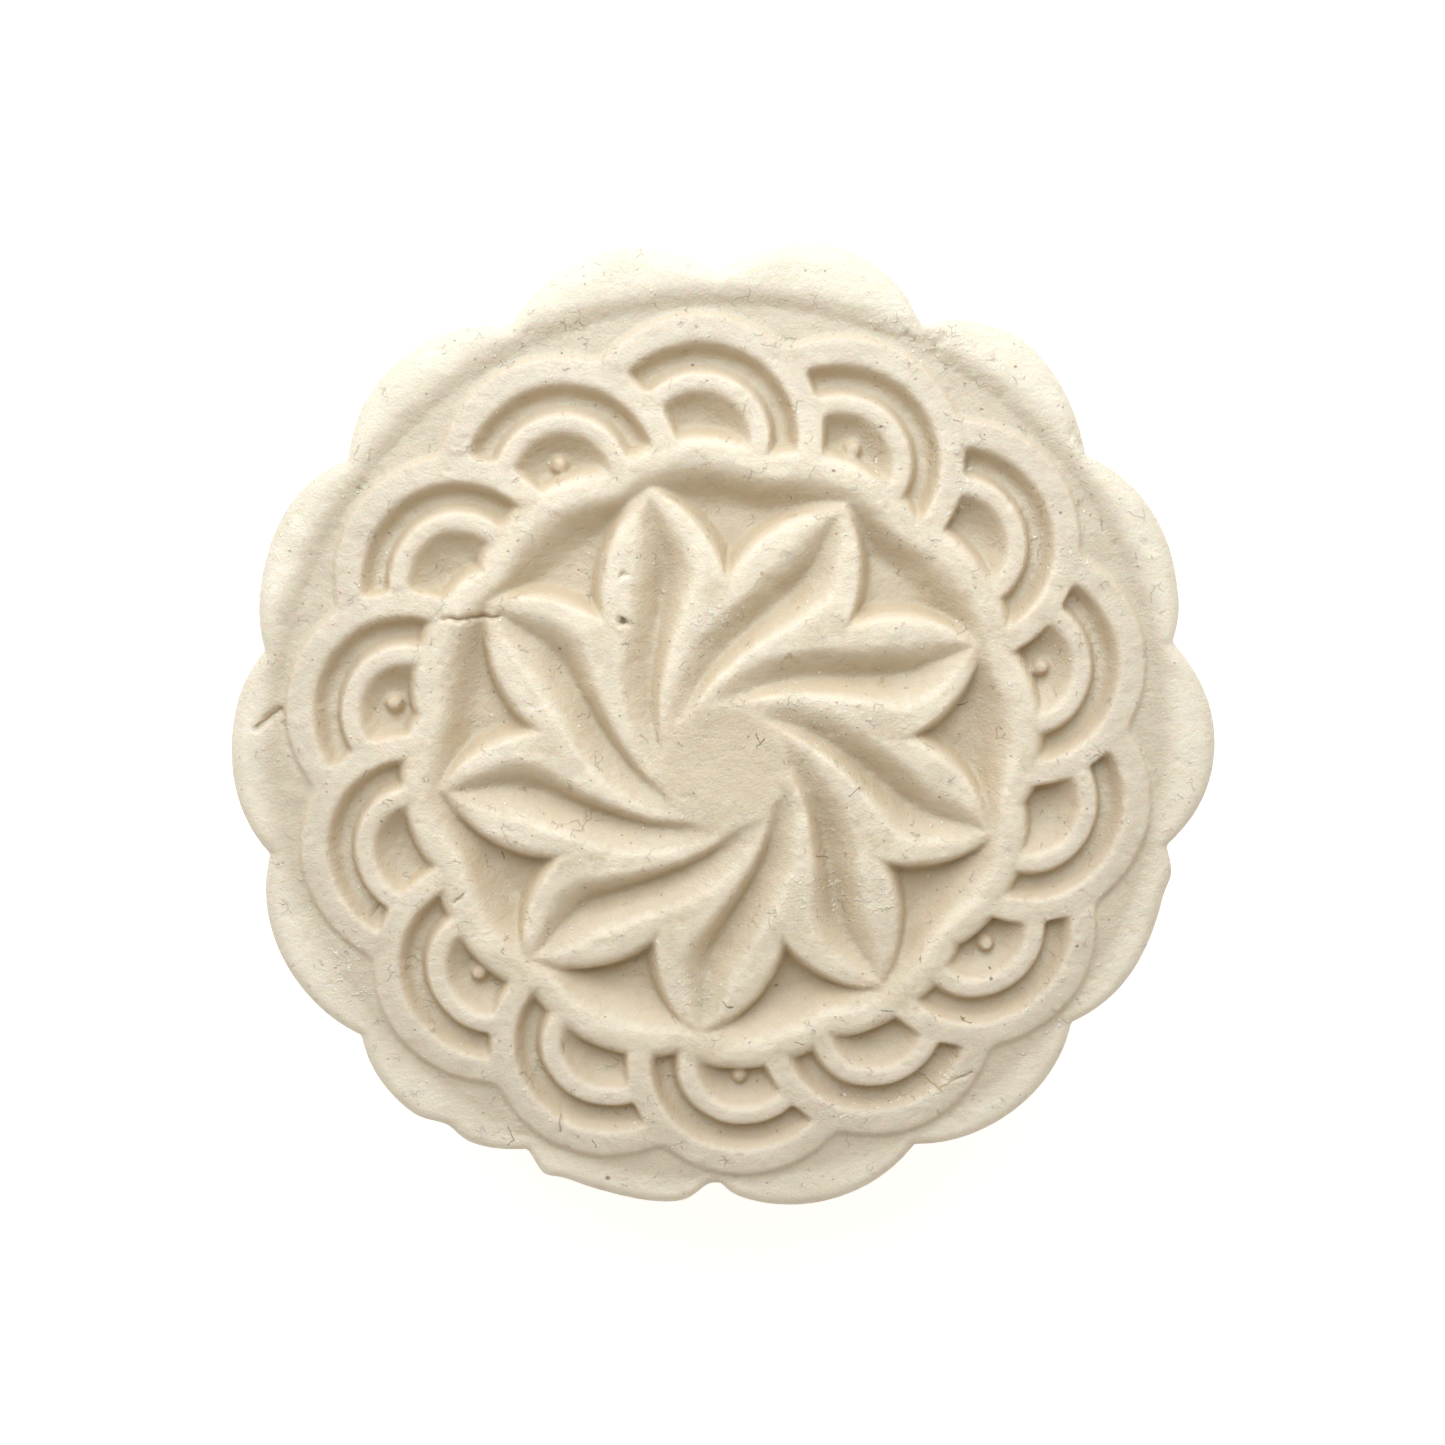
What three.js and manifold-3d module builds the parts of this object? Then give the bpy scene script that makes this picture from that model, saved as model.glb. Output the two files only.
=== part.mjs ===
// A round shaving soap puck, pressed in one piece: a thick tablet with fourteen lobes round its edge
// and a relief stamped into its gently domed face. From the edge inwards the relief is a raised rim,
// a ring of fourteen overlapping fans, a scalloped band, and a sunken floor with a nine-petalled
// swirling flower standing on it. Millimetres, +Z up, origin at the middle of the flat underside.
import * as THREE from "three";
import { ParametricGeometry } from "three/addons/geometries/ParametricGeometry.js";
import { mergeVertices } from "three/addons/utils/BufferGeometryUtils.js";
import Module from "manifold-3d";

const wasm = await Module();
wasm.setup();

const DEG = Math.PI / 180;
const TURN = 2 * Math.PI;

// Tablet
const THICKNESS = 25.6; // from the underside to the crest level at the middle of the face
const LOBES = 14;
const LOBE_RADIUS = 31.5; // from the axis to the crown of a lobe
const NOTCH_RADIUS = 29.7; // from the axis to the notch between two lobes
const EDGE_ROUNDING = 1.1;
const BASE_CHAMFER = 0.4;
const DOME = 0.002; // the face falls by this much times the radius squared
const DOME_DEPTH = 20; // the dome dies out this far below the face

// Relief. All its heights are measured from the crest level, which follows the dome.
const RELIEF_CENTRE = [0.21, -0.52]; // the stamp sits a little off the tablet's axis
const GROUND_LEVEL = -0.55;
const RIM_FOOT_RADIUS = 28.35;
const RIM_TOP_RADIUS = 29.7;
// The rim's inner wall, as [share of the way from foot to top, share of the ground's depth].
const RIM_WALL = [[0, 1], [0.22, 0.6], [0.5, 0.25], [1, 0]];

const FANS = 14;
const FIRST_FAN_ANGLE = 16.6 * DEG;
const FAN_CENTRE_RADIUS = 20.2;
const FAN_RADIUS = 7.85;
const FAN_CREST_RADIUS = 6.9; // a fan hides its neighbour inside this radius
const FAN_BED_LEVEL = -3.0;
// Across a fan from its outer edge to its middle, as [radius, height]: ring, groove, inner ring, pit.
const FAN_PROFILE = [
  [FAN_RADIUS, -0.6],
  [7.55, -0.1],
  [FAN_CREST_RADIUS, 0],
  [6.2, -0.02],
  [5.85, -0.2],
  [5.35, -1.1],
  [4.6, -1.5],
  [4.2, -0.4],
  [3.8, 0],
  [2.95, -0.15],
  [2.3, -1.0],
  [0, -1.85],
];
const PIP_RADIUS = 0.57;
const PIP_CENTRE_RADIUS = 21.1;
const PIP_TOP_LEVEL = -0.55;
const PIP_EDGE = 0.2;
const PIP_LAG = 1 * DEG; // a pip stands this much clockwise of its fan's axis

const SCALLOPS = 12;
const FIRST_CUSP_ANGLE = 21 * DEG;
const BAND_OUTER = { cusp: 19.5, peak: 20.5, fullness: 0.6 };
const BAND_INNER = { cusp: 18.3, peak: 19.2, fullness: 1.3 };
const BAND_CROWN_LEVEL = 0.05;
// The band's outer side, as [distance inside its outer line, drop below the crown].
const BAND_OUTER_SIDE = [[-0.5, 2.15], [0, 0.55], [0.3, 0.25], [0.8, 0]];
const FLOOR_RADIUS = 15.8;
const FLOOR_LEVEL = -2.1;
// The band's inner slope, as [share of the way from crown to floor, share of the drop].
const BAND_SLOPE = [[0.2, 0.1], [0.4, 0.35], [0.6, 0.65], [0.8, 0.9], [1, 1]];
const BAND_BED_LEVEL = -3.8;

const PETALS = 9;
const FLOWER_SHIFT = [0, -0.3];
const FIRST_TIP_ANGLE = 25.1 * DEG;
const PETAL_TIP_RADIUS = 18.35;
const PETAL_NOTCH_RADIUS = 12.46;
const PETAL_LEADING_ANGLE = 16.4 * DEG; // from the tip clockwise to the notch
const PETAL_TRAILING_ANGLE = 23.6 * DEG; // from the tip anticlockwise to the next notch
const PETAL_LEADING_POINT = 0.52; // 1 makes the edge straight, less makes it fuller
const PETAL_TRAILING_POINT = 0.68;
// Across a petal's edge, as [distance inside the outline, drop below the petal's top].
const PETAL_EDGE = [[0.04, 0.7], [0.25, 0.27], [0.8, 0]];
const PETAL_FOOT = 0.65; // a petal's side spreads this far beyond its outline
const FLOWER_LEVEL = 0.35;
const TIP_LEVEL = -0.25;
const TIP_SLOPE_START = 9; // the petals' tops fall from this radius to their tips
const DISC_RADIUS = 4.0;
const SWIRL_START_RADIUS = 13.8;
const SWIRL_ANGLE = 44.5 * DEG;
const SWIRL_POWER = 1.5;
const VALLEY_DEPTH = 2.1;
const VALLEY_DEEPEST_RADIUS = 12;
const VALLEY_OUTER_RADIUS = 17.5;
const VALLEY_LEADING_WIDTH = 11 * DEG;
const VALLEY_TRAILING_WIDTH = 12.5 * DEG;
const VALLEY_WIDENING = 12 * DEG; // how much wider the trailing side grows towards the middle
const VALLEY_WIDEST_RADIUS = 6;
const VALLEY_LEADING_ROUNDNESS = 1.5;
const VALLEY_TRAILING_ROUNDNESS = 1.3;
const VALLEY_BLUNTNESS = 0.13; // share of its width by which a valley's bottom is rounded
const VALLEY_RISE = 0.6; // the smaller, the sooner a valley deepens outside the disc
const VALLEY_TAPER = 0.8; // the smaller, the later a valley narrows towards its tip
const NARROWEST = 0.05; // the least share of its length from which a valley's width is worked out

// Fineness of the facets
const LOBE_STEPS = 8;
const EDGE_STEPS = 3;
const RIM_STEPS = 70;
const FAN_STEPS = 24;
const PIP_STEPS = 10;
const SCALLOP_STEPS = 6;
const PETAL_SPOKES = [-13, -7, -3.5, 0, 5.5, 11, 17, 23.6].map((degrees) => degrees * DEG);
const PETAL_ROWS = [0.96, 0.88, 0.78, 0.66, 0.54, 0.42, 0.3, 0]; // shares of the petal's length
const OVERLAP = 0.3; // how far joined shapes reach into each other

const cream = new THREE.MeshStandardMaterial({ color: 0xe4d9bf, roughness: 0.75, metalness: 0 });

// A closed geometry as a manifold-3d solid.
function solid(geometry) {
  const positions = new THREE.BufferGeometry();
  positions.setAttribute("position", geometry.getAttribute("position"));
  positions.setIndex(geometry.getIndex());
  const merged = mergeVertices(positions, 1e-4);
  const corners = merged.getIndex().array;
  const triangles = [];
  for (let i = 0; i < corners.length; i += 3) {
    const [a, b, c] = corners.slice(i, i + 3);
    if (a !== b && b !== c && c !== a) triangles.push(a, b, c);
  }
  return new wasm.Manifold(
    new wasm.Mesh({
      numProp: 3,
      vertProperties: merged.getAttribute("position").array,
      triVerts: new Uint32Array(triangles),
    }),
  );
}

// A manifold-3d solid as a geometry, with every vertex moved by the given function.
function geometryOf(shape, move) {
  const mesh = shape.getMesh();
  const positions = new Float32Array(mesh.vertProperties);
  const point = new THREE.Vector3();
  for (let i = 0; i < positions.length; i += 3) {
    point.fromArray(positions, i);
    move(point);
    point.toArray(positions, i);
  }
  const geometry = new THREE.BufferGeometry();
  geometry.setAttribute("position", new THREE.BufferAttribute(positions, 3));
  geometry.setIndex(new THREE.BufferAttribute(mesh.triVerts, 1));
  geometry.computeVertexNormals();
  return geometry;
}

const polar = (radius, angle) => [radius * Math.cos(angle), radius * Math.sin(angle)];

// Round solid about the Z axis, from a list of [radius, height] that starts and ends on the axis,
// listed from the bottom up.
function turned(profile, steps) {
  const points = profile.map(([radius, height]) => new THREE.Vector2(radius, height));
  return new THREE.LatheGeometry(points, steps).rotateX(Math.PI / 2);
}

// Outline of equal circular lobes that meet in sharp notches.
function lobedShape() {
  const halfStep = Math.PI / LOBES;
  const halfChord = NOTCH_RADIUS * Math.sin(halfStep);
  const rise = LOBE_RADIUS - NOTCH_RADIUS * Math.cos(halfStep);
  const arcRadius = (halfChord ** 2 + rise ** 2) / (2 * rise);
  const halfSweep = Math.asin(halfChord / arcRadius);
  const points = [];
  for (let lobe = 0; lobe < LOBES; lobe += 1) {
    const axis = 2 * halfStep * lobe;
    const [centreX, centreY] = polar(LOBE_RADIUS - arcRadius, axis);
    for (let step = 0; step < LOBE_STEPS; step += 1) {
      const [x, y] = polar(arcRadius, axis + halfSweep * ((2 * step) / LOBE_STEPS - 1));
      points.push(new THREE.Vector2(centreX + x, centreY + y));
    }
  }
  return new THREE.Shape(points);
}

// The lobed outline raised from bottom to top, with both of its edges rounded.
function lobedSlab(bottom, top, rounding, steps) {
  const geometry = new THREE.ExtrudeGeometry(lobedShape(), {
    depth: top - bottom - 2 * rounding,
    bevelThickness: rounding,
    bevelSize: rounding,
    bevelOffset: -rounding,
    bevelSegments: steps,
  });
  return solid(geometry.translate(0, 0, bottom + rounding));
}

// The tablet: its crest face lies at height 0 and its underside at -THICKNESS.
function tablet() {
  const roundedAbove = lobedSlab(-THICKNESS - 2 * EDGE_ROUNDING, 0, EDGE_ROUNDING, EDGE_STEPS);
  const chamferedBelow = lobedSlab(-THICKNESS, 2 * BASE_CHAMFER, BASE_CHAMFER, 1);
  return roundedAbove.intersect(chamferedBelow);
}

// The space inside the raised rim, down to the ground that the fans stand on.
function rimPocket() {
  const width = RIM_TOP_RADIUS - RIM_FOOT_RADIUS;
  const wall = RIM_WALL.map(([along, down]) => [RIM_FOOT_RADIUS + width * along, GROUND_LEVEL * down]);
  const profile = [[0, GROUND_LEVEL], ...wall, [RIM_TOP_RADIUS + 1, 1], [0, 1]];
  return solid(turned(profile, RIM_STEPS));
}

// One fan about its own centre.
function fanGeometry() {
  const bottom = FAN_BED_LEVEL - OVERLAP;
  return turned([[0, bottom], [FAN_RADIUS, bottom], ...FAN_PROFILE], FAN_STEPS);
}

function upright(radius, bottom, top, steps) {
  return turned([[0, bottom], [radius, bottom], [radius, top], [0, top]], steps);
}

const fanAngle = (index) => FIRST_FAN_ANGLE + (index * TURN) / FANS;

function atFan(geometry, index) {
  const [x, y] = polar(FAN_CENTRE_RADIUS, fanAngle(index));
  return geometry.rotateZ(fanAngle(index)).translate(x, y, 0);
}

function pip(index) {
  const [x, y] = polar(PIP_CENTRE_RADIUS, fanAngle(index) - PIP_LAG);
  const profile = [
    [0, FAN_BED_LEVEL],
    [PIP_RADIUS, FAN_BED_LEVEL],
    [PIP_RADIUS, PIP_TOP_LEVEL - PIP_EDGE],
    [PIP_RADIUS - PIP_EDGE, PIP_TOP_LEVEL],
    [0, PIP_TOP_LEVEL],
  ];
  return solid(turned(profile, PIP_STEPS).translate(x, y, 0));
}

// The fans replace the ground where they stand. Each one overlaps the fan clockwise of it, all the
// way round, and every second one carries a small pip in its pit.
function addFans(body) {
  const bedRadius = FAN_RADIUS - OVERLAP;
  const hiddenRadius = FAN_CREST_RADIUS;
  let result = body;
  for (let index = 0; index < FANS; index += 1) {
    const bed = atFan(upright(bedRadius, FAN_BED_LEVEL, 1, FAN_STEPS), index);
    result = result.subtract(solid(bed));
  }
  for (let index = 0; index < FANS; index += 1) {
    const hidden = atFan(upright(hiddenRadius, -THICKNESS, 1, FAN_STEPS), index + 1);
    let fan = solid(atFan(fanGeometry(), index)).subtract(solid(hidden));
    if (index % 2 === 0) fan = fan.add(pip(index));
    result = result.add(fan);
  }
  return result;
}

// Radius of a scalloped line: round bulges that meet in cusps.
function scalloped({ cusp, peak, fullness }, angle) {
  const phase = ((angle - FIRST_CUSP_ANGLE) * SCALLOPS) / 2;
  return cusp + (peak - cusp) * Math.abs(Math.sin(phase)) ** fullness;
}

// Closed solid from columns round the axis. rows(angle) lists the column's [radius, height, turn]
// from the axis at the bottom, round the outside, to the axis at the top.
function columns(count, firstAngle, rows) {
  const rowCount = rows(firstAngle).length;
  const place = (u, v, target) => {
    const angle = firstAngle + ((Math.round(u * count) % count) * TURN) / count;
    const [radius, height, turn = 0] = rows(angle)[Math.round(v * (rowCount - 1))];
    target.set(...polar(radius, angle + turn), height);
  };
  return solid(new ParametricGeometry(place, count, rowCount - 1));
}

// The band: a smooth rounded crest whose inner side slopes down to the sunken floor.
function band() {
  const bottom = BAND_BED_LEVEL - OVERLAP;
  const drop = BAND_CROWN_LEVEL - FLOOR_LEVEL;
  const rows = (angle) => {
    const outer = scalloped(BAND_OUTER, angle);
    const inner = scalloped(BAND_INNER, angle);
    const side = BAND_OUTER_SIDE.map(([inside, down]) => [outer - inside, BAND_CROWN_LEVEL - down]);
    const slope = BAND_SLOPE.map(([along, down]) => [
      inner + (FLOOR_RADIUS - inner) * along,
      BAND_CROWN_LEVEL - drop * down,
    ]);
    return [[0, bottom], [side[0][0], bottom], ...side, ...slope, [0, FLOOR_LEVEL]];
  };
  return columns(SCALLOPS * SCALLOP_STEPS, FIRST_CUSP_ANGLE, rows);
}

// The bed that the band and the floor fill.
function bandBed() {
  const rows = (angle) => {
    const outer = scalloped(BAND_OUTER, angle) - OVERLAP;
    return [
      [0, BAND_BED_LEVEL],
      [outer, BAND_BED_LEVEL],
      [outer, 1],
      [0, 1],
    ];
  };
  return columns(SCALLOPS * SCALLOP_STEPS, FIRST_CUSP_ANGLE, rows);
}

// Outline radius of a petal, at an angle from its tip: negative is clockwise, the leading side.
function petalRadius(fromTip) {
  const leading = fromTip < 0;
  const share = Math.abs(fromTip) / (leading ? PETAL_LEADING_ANGLE : PETAL_TRAILING_ANGLE);
  const point = leading ? PETAL_LEADING_POINT : PETAL_TRAILING_POINT;
  const inwards = point * share + (1 - point) * share ** 2;
  return PETAL_TIP_RADIUS - (PETAL_TIP_RADIUS - PETAL_NOTCH_RADIUS) * inwards;
}

// Inside the petals the valleys swirl anticlockwise towards the middle by this angle.
function swirl(radius) {
  if (radius >= SWIRL_START_RADIUS) return 0;
  const inwards = Math.log(SWIRL_START_RADIUS / Math.max(radius, DISC_RADIUS));
  return SWIRL_ANGLE * inwards ** SWIRL_POWER;
}

const smooth = (from, to, value) => THREE.MathUtils.smoothstep(value, from, to);

// Height of the flower's top at a radius and at an angle from the nearest valley line.
function flowerLevel(radius, fromValley) {
  const { clamp, lerp } = THREE.MathUtils;
  const leading = fromValley < 0;
  const level = lerp(FLOWER_LEVEL, TIP_LEVEL, smooth(TIP_SLOPE_START, PETAL_TIP_RADIUS, radius));
  const widening = VALLEY_WIDENING * (1 - smooth(VALLEY_WIDEST_RADIUS, VALLEY_DEEPEST_RADIUS, radius));
  const width = leading ? VALLEY_LEADING_WIDTH : VALLEY_TRAILING_WIDTH + widening;
  const roundness = leading ? VALLEY_LEADING_ROUNDNESS : VALLEY_TRAILING_ROUNDNESS;
  const outer = (VALLEY_OUTER_RADIUS - radius) / (VALLEY_OUTER_RADIUS - VALLEY_DEEPEST_RADIUS);
  const inner = (radius - DISC_RADIUS) / (VALLEY_DEEPEST_RADIUS - DISC_RADIUS);
  const rise = Math.sin((clamp(inner, 0, 1) * Math.PI) / 2) ** VALLEY_RISE;
  const depth = VALLEY_DEPTH * Math.min(clamp(outer, 0, 1), rise);
  const across = fromValley / (width * clamp(outer, NARROWEST, 1) ** VALLEY_TAPER);
  const flank = Math.min(1, Math.hypot(across, VALLEY_BLUNTNESS));
  return level - depth * (1 - flank) ** roundness;
}

// One petal's column at an angle from its tip, as [radius, height, angle] from the bottom up.
function petalColumn(petal, fromTip) {
  const outline = petalRadius(fromTip);
  const tipAngle = FIRST_TIP_ANGLE + (petal * TURN) / PETALS;
  const bottom = FLOOR_LEVEL - OVERLAP;
  const edge = PETAL_EDGE.map(([inside, drop]) => {
    const radius = outline - inside;
    return [radius, flowerLevel(radius, fromTip) - drop];
  });
  const [shoulder] = edge[edge.length - 1];
  const top = PETAL_ROWS.map((share) => [share * shoulder, flowerLevel(share * shoulder, fromTip)]);
  const rows = [[0, bottom], [outline + PETAL_FOOT, bottom], ...edge, ...top];
  return rows.map(([radius, height]) => [radius, height, tipAngle + fromTip + swirl(radius)]);
}

// The flower: each petal folds down along its middle line, and that valley swirls into the disc.
function flower() {
  const grid = [];
  for (let petal = 0; petal < PETALS; petal += 1) {
    PETAL_SPOKES.forEach((fromTip) => grid.push(petalColumn(petal, fromTip)));
  }
  const lastRow = grid[0].length - 1;
  const place = (u, v, target) => {
    const column = grid[Math.round(u * grid.length) % grid.length];
    const [radius, height, angle] = column[Math.round(v * lastRow)];
    target.set(...polar(radius, angle), height);
  };
  return solid(new ParametricGeometry(place, grid.length, lastRow));
}

// Lays the relief over the dome and lifts the puck onto its underside.
function settle(point) {
  const share = THREE.MathUtils.clamp((point.z + DOME_DEPTH) / DOME_DEPTH, 0, 1);
  point.z += THICKNESS - DOME * (point.x ** 2 + point.y ** 2) * share;
}

// The relief is cut and built up about its own centre, then the puck is moved back to its own axis.
function soapPuck() {
  const [x, y] = RELIEF_CENTRE;
  const rimmed = tablet().translate([-x, -y, 0]).subtract(rimPocket());
  const banded = addFans(rimmed).subtract(bandBed()).add(band());
  return banded.add(flower().translate([...FLOWER_SHIFT, 0])).translate([x, y, 0]);
}

const puck = new THREE.Mesh(geometryOf(soapPuck(), settle), cream);
puck.name = "soap_puck";

const group = new THREE.Group();
group.add(puck);

export default group;
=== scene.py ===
"""A pressed shaving soap puck: a lobed tablet with a relief stamped into its domed face.

The relief is worked out as a height map in millimetres, laid over the dome, and carried by one fine
closed mesh that replaces the plain CAD solid. Everything is in the CAD model's own frame.
"""

import math

import bpy
import numpy as np
from mathutils import Matrix, Vector


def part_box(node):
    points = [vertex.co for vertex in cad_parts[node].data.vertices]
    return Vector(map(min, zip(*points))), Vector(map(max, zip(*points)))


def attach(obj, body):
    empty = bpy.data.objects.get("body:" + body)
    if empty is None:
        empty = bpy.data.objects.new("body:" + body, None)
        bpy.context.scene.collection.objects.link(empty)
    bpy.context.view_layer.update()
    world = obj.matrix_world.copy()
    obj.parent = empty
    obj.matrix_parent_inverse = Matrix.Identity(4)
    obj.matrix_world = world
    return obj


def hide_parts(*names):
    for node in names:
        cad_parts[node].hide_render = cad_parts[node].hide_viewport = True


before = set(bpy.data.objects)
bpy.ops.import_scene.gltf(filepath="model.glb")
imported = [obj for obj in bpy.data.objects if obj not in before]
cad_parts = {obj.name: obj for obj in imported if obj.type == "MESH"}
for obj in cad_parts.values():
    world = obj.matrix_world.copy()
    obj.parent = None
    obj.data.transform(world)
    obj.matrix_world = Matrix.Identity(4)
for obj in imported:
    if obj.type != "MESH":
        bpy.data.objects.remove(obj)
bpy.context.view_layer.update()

MM = 0.001
DEG = math.pi / 180
TURN = 2 * math.pi

PUCK_LOW, PUCK_HIGH = ([side / MM for side in corner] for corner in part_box("soap_puck"))

# Tablet, in millimetres. Its size comes from the CAD model's box.
LOBES = 14
LOBE_RADIUS = (PUCK_HIGH[0] - PUCK_LOW[0]) / 2
NOTCH_RADIUS = LOBE_RADIUS - 1.8
NOTCH_SOFTNESS = 0.18
EDGE_ROUNDING = 1.1
BASE_ROUNDING = 0.5
DOME = 0.002
DOME_DEPTH = 20

# Relief. Heights are measured from the crest level, which follows the dome.
FLOWER_LEVEL = 0.35
CREST_HEIGHT = PUCK_HIGH[2] - FLOWER_LEVEL
RELIEF_CENTRE = (0.21, -0.52)
GROUND_LEVEL = -0.55
LOW_RIM_ANGLE = 275 * DEG
RIM_LOSS = 0.7
RIM_FOOT_RADIUS = 28.35
RIM_TOP_RADIUS = 29.7
RIM_STEEPNESS = 1.8

FANS = 14
FIRST_FAN_ANGLE = 16.6 * DEG
FAN_CENTRE_RADIUS = 20.2
FAN_RADIUS = 7.72
FAN_WALL = 0.22
CUSP_FILL = 0.7
# Across a fan from its own centre outwards, as (distance, height): pit, inner ring, groove, outer ring.
FAN_PROFILE = (
    (0, -1.85), (1.2, -1.7), (1.8, -1.42), (2.3, -1.02), (2.65, -0.6), (2.9, -0.2), (3.2, -0.02),
    (3.8, 0), (4.05, -0.1), (4.2, -0.4), (4.42, -1.3), (4.6, -1.5), (5.05, -1.42), (5.35, -1.1),
    (5.6, -0.62), (5.82, -0.2), (6.1, -0.02), (6.4, 0), (7.2, -0.02), (FAN_RADIUS, -0.08),
    (FAN_RADIUS + 1, -0.1),
)
# The inner rings are this much wider sideways, and the widening ends between these two distances.
RING_WIDENING = 0.06
WIDENING_END = (5.4, 6.8)
# A pip's side slopes from the first of these past its radius to the second.
PIP_RADIUS = 0.57
PIP_EDGE = (-0.2, 0.1)
PIP_CENTRE_RADIUS = 21.1
PIP_HEIGHT = 0.9
PIP_LAG = 1 * DEG

SCALLOPS = 12
FIRST_CUSP_ANGLE = 21 * DEG
# A scalloped line has the radius of its cusps, the radius of its peaks, and a fullness.
BAND_OUTER = (19.5, 20.5, 0.6)
BAND_INNER = (17.5, 18.4, 1.3)
BAND_CROWN_LEVEL = 0.05
BAND_EDGE_DROP = 0.55
BAND_EDGE_ROUNDING = 0.9
BAND_OVERLAP = 0.5
BAND_SIDE_SLOPE = 3.2
BAND_SHOULDER = 0.8
FLOOR_RADIUS = 15.8
FLOOR_LEVEL = -2.1

PETALS = 9
FLOWER_SHIFT = (0, -0.3)
FIRST_TIP_ANGLE = 25.1 * DEG
PETAL_TIP_RADIUS = 18.35
PETAL_NOTCH_RADIUS = 12.46
PETAL_LEADING_ANGLE = 16.4 * DEG
PETAL_TRAILING_ANGLE = 23.6 * DEG
PETAL_LEADING_POINT = 0.52
PETAL_TRAILING_POINT = 0.68
PETAL_LEADING_ROUNDING = 0.6
PETAL_TRAILING_ROUNDING = 1.0
TIP_LEVEL = -0.25
TIP_SLOPE_START = 9
DISC_RADIUS = 4.0
SWIRL_START_RADIUS = 13.8
SWIRL_ANGLE = 44.5 * DEG
SWIRL_POWER = 1.5
VALLEY_DEPTH = 2.1
VALLEY_DEEPEST_RADIUS = 12.0
VALLEY_OUTER_RADIUS = 17.5
VALLEY_LEADING_WIDTH = 11 * DEG
VALLEY_TRAILING_WIDTH = 12.5 * DEG
VALLEY_WIDENING = 12 * DEG
VALLEY_WIDEST_RADIUS = 6
VALLEY_EVEN_RADIUS = 12.5
VALLEY_RISE = 0.6
VALLEY_FALL = 0.75
VALLEY_TAPER = 0.8
NARROWEST = 0.05
VALLEY_LEADING_ROUNDNESS = 1.5
VALLEY_TRAILING_ROUNDNESS = 1.3
VALLEY_BLUNTNESS = 0.13
PETAL_SIDE_SLOPE = 2.8
PETAL_LEADING_REACH = 15 * DEG

# Marks of use, placed by degrees and millimetres about the relief's centre.
# A line has a start, an end, a width and a depth.
CRACKS = (
    ((146.5, 16.8), (152.5, 19.6), 0.16, 0.35),
    ((173, 28.2), (175.5, 29.6), 0.2, 0.4),
    ((117.2, 13.3), (118.6, 13.4), 0.12, 0.22),
    ((301.3, 25.0), (302.6, 26.4), 0.12, 0.15),
    ((302.6, 26.1), (308, 26.5), 0.12, 0.15),
    ((203, 24.1), (204, 24.9), 0.12, 0.15),
    ((207, 18.6), (207.6, 19.4), 0.12, 0.15),
    ((245.6, 25.9), (246.4, 26.9), 0.12, 0.15),
)
CRUMBLED = (
    ((62.5, 29.3), (66.5, 29.1), 0.8, 0.18),
    ((40.5, 29.9), (42.5, 30), 0.5, 0.25),
    ((123.4, 10.7), (124.8, 10.9), 0.42, 0.35),
    ((116.8, 13.4), (118.6, 13.5), 0.3, 0.08),
    ((302, 25.6), (302.3, 26.0), 0.4, 0.06),
    ((48, 23.6), (52, 24.4), 0.45, 0.12),
)
# A dent has an angle, a width in degrees and a depth.
DENTS = (
    (3, 9, -0.5), (16, 3, -0.15), (54, 8, -0.55), (64.5, 2.4, 0.4), (76, 9, -0.75), (99, 8, -0.4),
    (116, 3, 0.2), (140, 3, 0.15), (158, 9, 0.45), (178, 9, 0.35), (221, 9, -0.4), (234, 2.4, 0.6),
    (247.5, 1.8, -0.5), (256, 8, 0.7), (268.4, 2, 0.75), (309, 8, 0.1), (337, 9, 0.4), (344, 2, -0.35),
    (353, 8, -0.5),
)

# Lumps of the whole surface, as (height, size); pits and crumbs, as (count, smallest, largest, rise).
LUMPS = ((0.05, 4.0), (0.026, 1.6), (0.014, 0.5))
PITS_AND_CRUMBS = ((700, 0.09, 0.26, -0.08), (900, 0.08, 0.2, 0.06))
STREWN_RADIUS = 30.5
CRACK_WANDER = 0.12
CRACK_WANDER_SIZE = 0.8
CRUMBLE_SIZE = 0.45
CRUMBLE_EDGE = 0.12

# Marks of the side wall, as (depth, length down, length around) counted in rows and columns of the
# mesh: lines dragged up by the press cup, slow lumps and grain. Then the pits.
WALL_MARKS = ((0.05, 40, 2.2), (0.04, 30, 9), (0.015, 1, 1.4))
WALL_PIT_SIZE = (1.2, 1.6)
WALL_PIT_RARITY = (2.0, 3.4)
WALL_PIT_DEPTH = 0.15
# The rounding of the base's edge wavers by a share of itself, for wall marks of a given depth.
BASE_WAVER = 0.3
BASE_WAVER_DEPTH = 0.04
BASE_EDGE_LIMITS = (0.25, 1.0)
MARKS_FADE_IN = 0.1
MARKS_FADE_OUT = 0.97

# Height map and mesh fineness
MAP_STEP = 0.05
MAP_HALF = 33.0
PRESS_SOFTNESS = 0.09
RINGS = 205
ROUNDING_ROWS = 9
WALL_STEP = 0.3
BASE_EDGE_ROWS = 4
BASE_ROWS = 14
MOST_TRIANGLES = 196000

# How far round a place the map is smoothed to find hollows and steep walls
HOLLOW_REACH = 1.1
STEEP_REACH = 0.12

SEED = 7


def smoothstep(start, end, value):
    share = np.clip((value - start) / (end - start), 0, 1)
    return share * share * (3 - 2 * share)


def smooth_max(a, b, softness):
    share = np.clip(0.5 + 0.5 * (a - b) / softness, 0, 1)
    return b + (a - b) * share + softness * share * (1 - share)


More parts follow.
